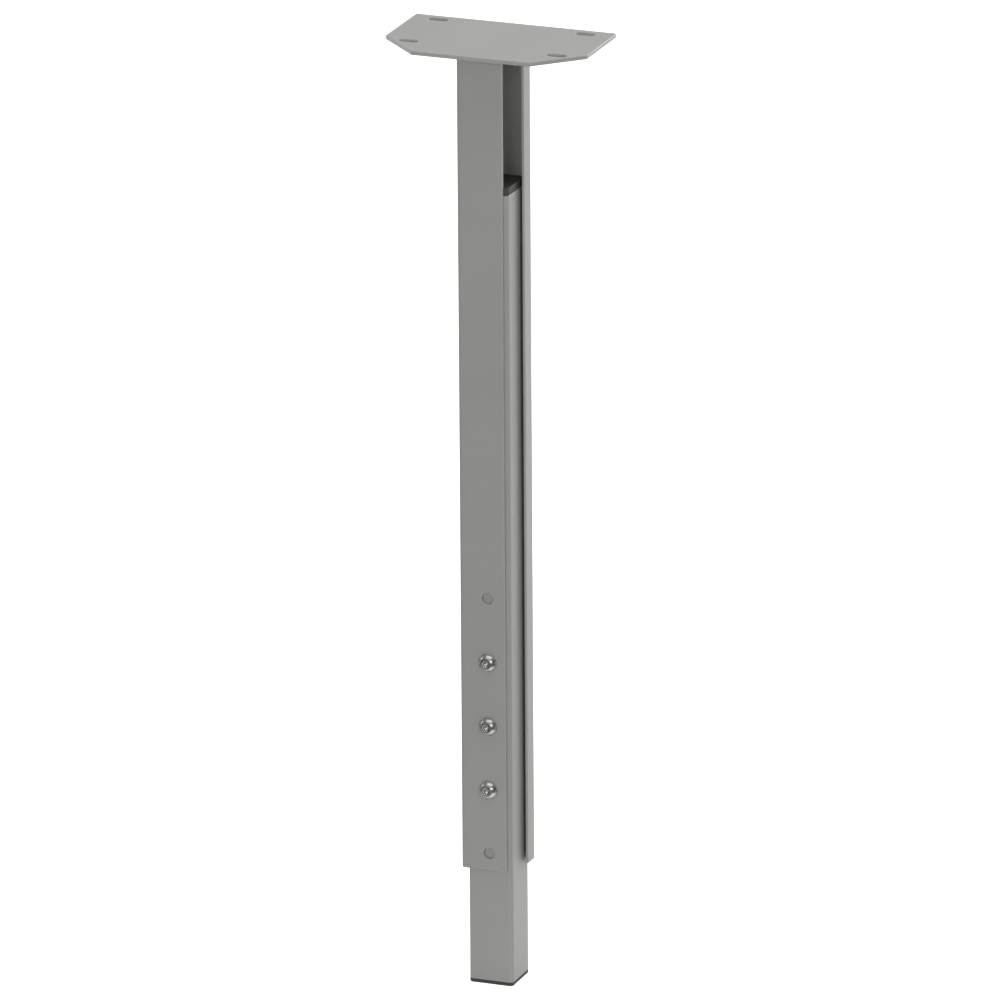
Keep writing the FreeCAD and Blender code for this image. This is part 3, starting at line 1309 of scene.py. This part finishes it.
@dataclass(frozen=True)
class Softbox:
    """A large soft light that points at the leg."""

    name: str
    place: Triple
    size: Pair
    power: float

    def build(self, target: Vector) -> None:
        """Adds the light to the scene.

        Args:
            target: Point that the light faces.
        """
        lamp = bpy.data.lights.new(self.name, "AREA")
        lamp.shape = "RECTANGLE"
        lamp.size, lamp.size_y = self.size
        lamp.energy = self.power
        light = new_object(self.name, lamp)
        light.location = self.place
        light.rotation_euler = (target - Vector(self.place)).to_track_quat("-Z", "Y").to_euler()


@dataclass
class Studio:
    """Pale floor, soft light and the camera."""

    azimuth: float = math.radians(21.1)
    elevation: float = math.radians(18.0)
    roll: float = math.radians(-0.37)
    distance: float = 10.0
    target: Triple = (0.003, 0.0, 0.376)
    focal_pixels: float = 13500.0
    sensor_width: float = 36.0
    clip_end: float = 100.0
    floor_reach: float = 14.0
    floor_colour: Triple = (0.85, 0.85, 0.85)
    # Painted shade: the colour that mirror rays see on the far floor.
    floor_dimmed: Triple = (0.06, 0.06, 0.06)
    floor_roughness: float = 0.9
    floor_lift: float = 0.95
    # Painted reflection: how far the floor stays glowing and bright to mirror rays near the leg.
    sweep: Pair = (0.15, 0.45)
    mirrored_floor: float = 0.4
    ambient: float = 0.25
    horizon: float = 0.02
    mirrored_sky: float = 0.25
    sky_rise: Pair = (0.15, 0.75)
    # Also the painted glow of the floor behind the leg, seen only by mirror rays.
    mirrored_backdrop: float = 1.3
    backdrop_rise: Pair = (0.35, 0.95)
    backdrop_range: Pair = (0.0, 0.5)
    lights: Sequence[Softbox] = (
        Softbox("overhead_softbox", (0.3, 0.0, 2.6), (2.6, 2.4), 22.0),
        Softbox("back_softbox", (1.15, 2.55, 1.2), (1.5, 1.2), 42.0),
        Softbox("front_softbox", (0.15, -3.25, 1.4), (1.4, 1.2), 32.0),
        Softbox("right_fill", (2.0, -2.0, 1.2), (1.6, 1.2), 12.0),
        Softbox("left_fill", (-2.6, 0.6, 1.2), (1.6, 1.2), 10.0),
    )

    def build(self) -> None:
        """Builds the whole studio."""
        self.floor()
        self.world()
        for light in self.lights:
            light.build(Vector(self.target))
        self.camera()

    def floor(self) -> None:
        """Wide floor, white to the camera, with painted reflections: to mirror rays it glows as a pale patch near
        the leg and as a bright backdrop behind it, and its far part is painted dark.
        """
        reach = self.floor_reach
        corners = [(-reach, -reach, 0), (reach, -reach, 0), (reach, reach, 0), (-reach, reach, 0)]
        mesh = bpy.data.meshes.new("floor")
        mesh.from_pydata(corners, [], [(0, 1, 2, 3)])
        floor = new_object("floor", mesh)
        finish = Finish("pale_floor")
        rays = finish.add("ShaderNodeLightPath")
        away = finish.add("ShaderNodeVectorMath", {0: finish.place}, operation="LENGTH")["Value"]
        # Painted reflection: only for mirror rays, the floor glows near the leg and behind it.
        far = finish.ramp(away, *self.sweep)
        near = finish.math("SUBTRACT", 1.0, far)
        behind = finish.ramp(finish.axes(finish.place)["Y"], *self.backdrop_range)
        glow = finish.total([(behind, self.mirrored_backdrop), (near, self.mirrored_floor)])
        shown = finish.total([(rays["Is Camera Ray"], self.floor_lift), (rays["Is Glossy Ray"], glow)])
        # Painted shade in reflections: only mirror rays see the far floor turn dark.
        dim = finish.math("MULTIPLY", far, rays["Is Glossy Ray"])
        finish.feed({
            "Base Color": finish.tint(dim, self.floor_colour, self.floor_dimmed),
            "Roughness": self.floor_roughness,
            "Emission Color": WHITE,
            "Emission Strength": shown,
        })
        mesh.materials.append(finish.material)

    def world(self) -> None:
        """Even surroundings, white to the camera and mirrored as a dim sky and a bright backdrop."""
        world = bpy.data.worlds.new("studio")
        world.use_nodes = True
        nodes = Nodes(world.node_tree)
        axes = nodes.axes(nodes.add("ShaderNodeTexCoord")["Generated"])
        sky = nodes.ramp(axes["Z"], *self.sky_rise)
        behind = nodes.ramp(axes["Y"], *self.backdrop_rise)
        mirrored = nodes.total([(sky, self.mirrored_sky), (behind, self.mirrored_backdrop)], self.horizon)
        rays = nodes.add("ShaderNodeLightPath")
        mixed = {"A": self.ambient, "B": mirrored, "Factor": rays["Is Glossy Ray"]}
        shown = nodes.math("ADD", nodes.add("ShaderNodeMix", mixed)["Result"], rays["Is Camera Ray"])
        background = nodes.tree.nodes["Background"].inputs
        nodes.put(shown, background["Strength"])
        nodes.put(WHITE, background["Color"])
        bpy.context.scene.world = world
        bpy.context.scene.view_settings.view_transform = "Standard"

    def camera(self) -> None:
        """Long lens that looks down on the leg from the front right."""
        back = Vector((
            math.sin(self.azimuth) * math.cos(self.elevation),
            -math.cos(self.azimuth) * math.cos(self.elevation),
            math.sin(self.elevation),
        ))
        lens = bpy.data.cameras.new("camera")
        lens.sensor_width = self.sensor_width
        lens.lens = self.focal_pixels * self.sensor_width / IMAGE_SIDE
        lens.clip_end = self.clip_end
        camera = new_object("camera", lens)
        camera.location = Vector(self.target) + back * self.distance
        turn = (-back).to_track_quat("-Z", "Y").to_matrix().to_4x4()
        camera.rotation_euler = (turn @ Matrix.Rotation(self.roll, 4, "Z")).to_euler()
        bpy.context.scene.camera = camera


def main() -> None:
    """Builds the leg, then the studio."""
    logging.basicConfig(level=logging.INFO, format="%(name)s: %(message)s")
    paints = {slot: surface.material() for slot, surface in FINISHES.items()}
    UpperFrame(paints, Body.UPPER_FRAME).build()
    LowerLeg(paints, Body.LOWER_LEG).build()
    thread = thread_tree()
    for joint in screw_joints():
        number = int(joint["child"].rsplit("_", 1)[1])
        ClampScrew(paints, Body(joint["child"]), number, tuple(joint["pos_m"])).build(thread)
    Studio().build()


if __name__ == "__main__":
    main()
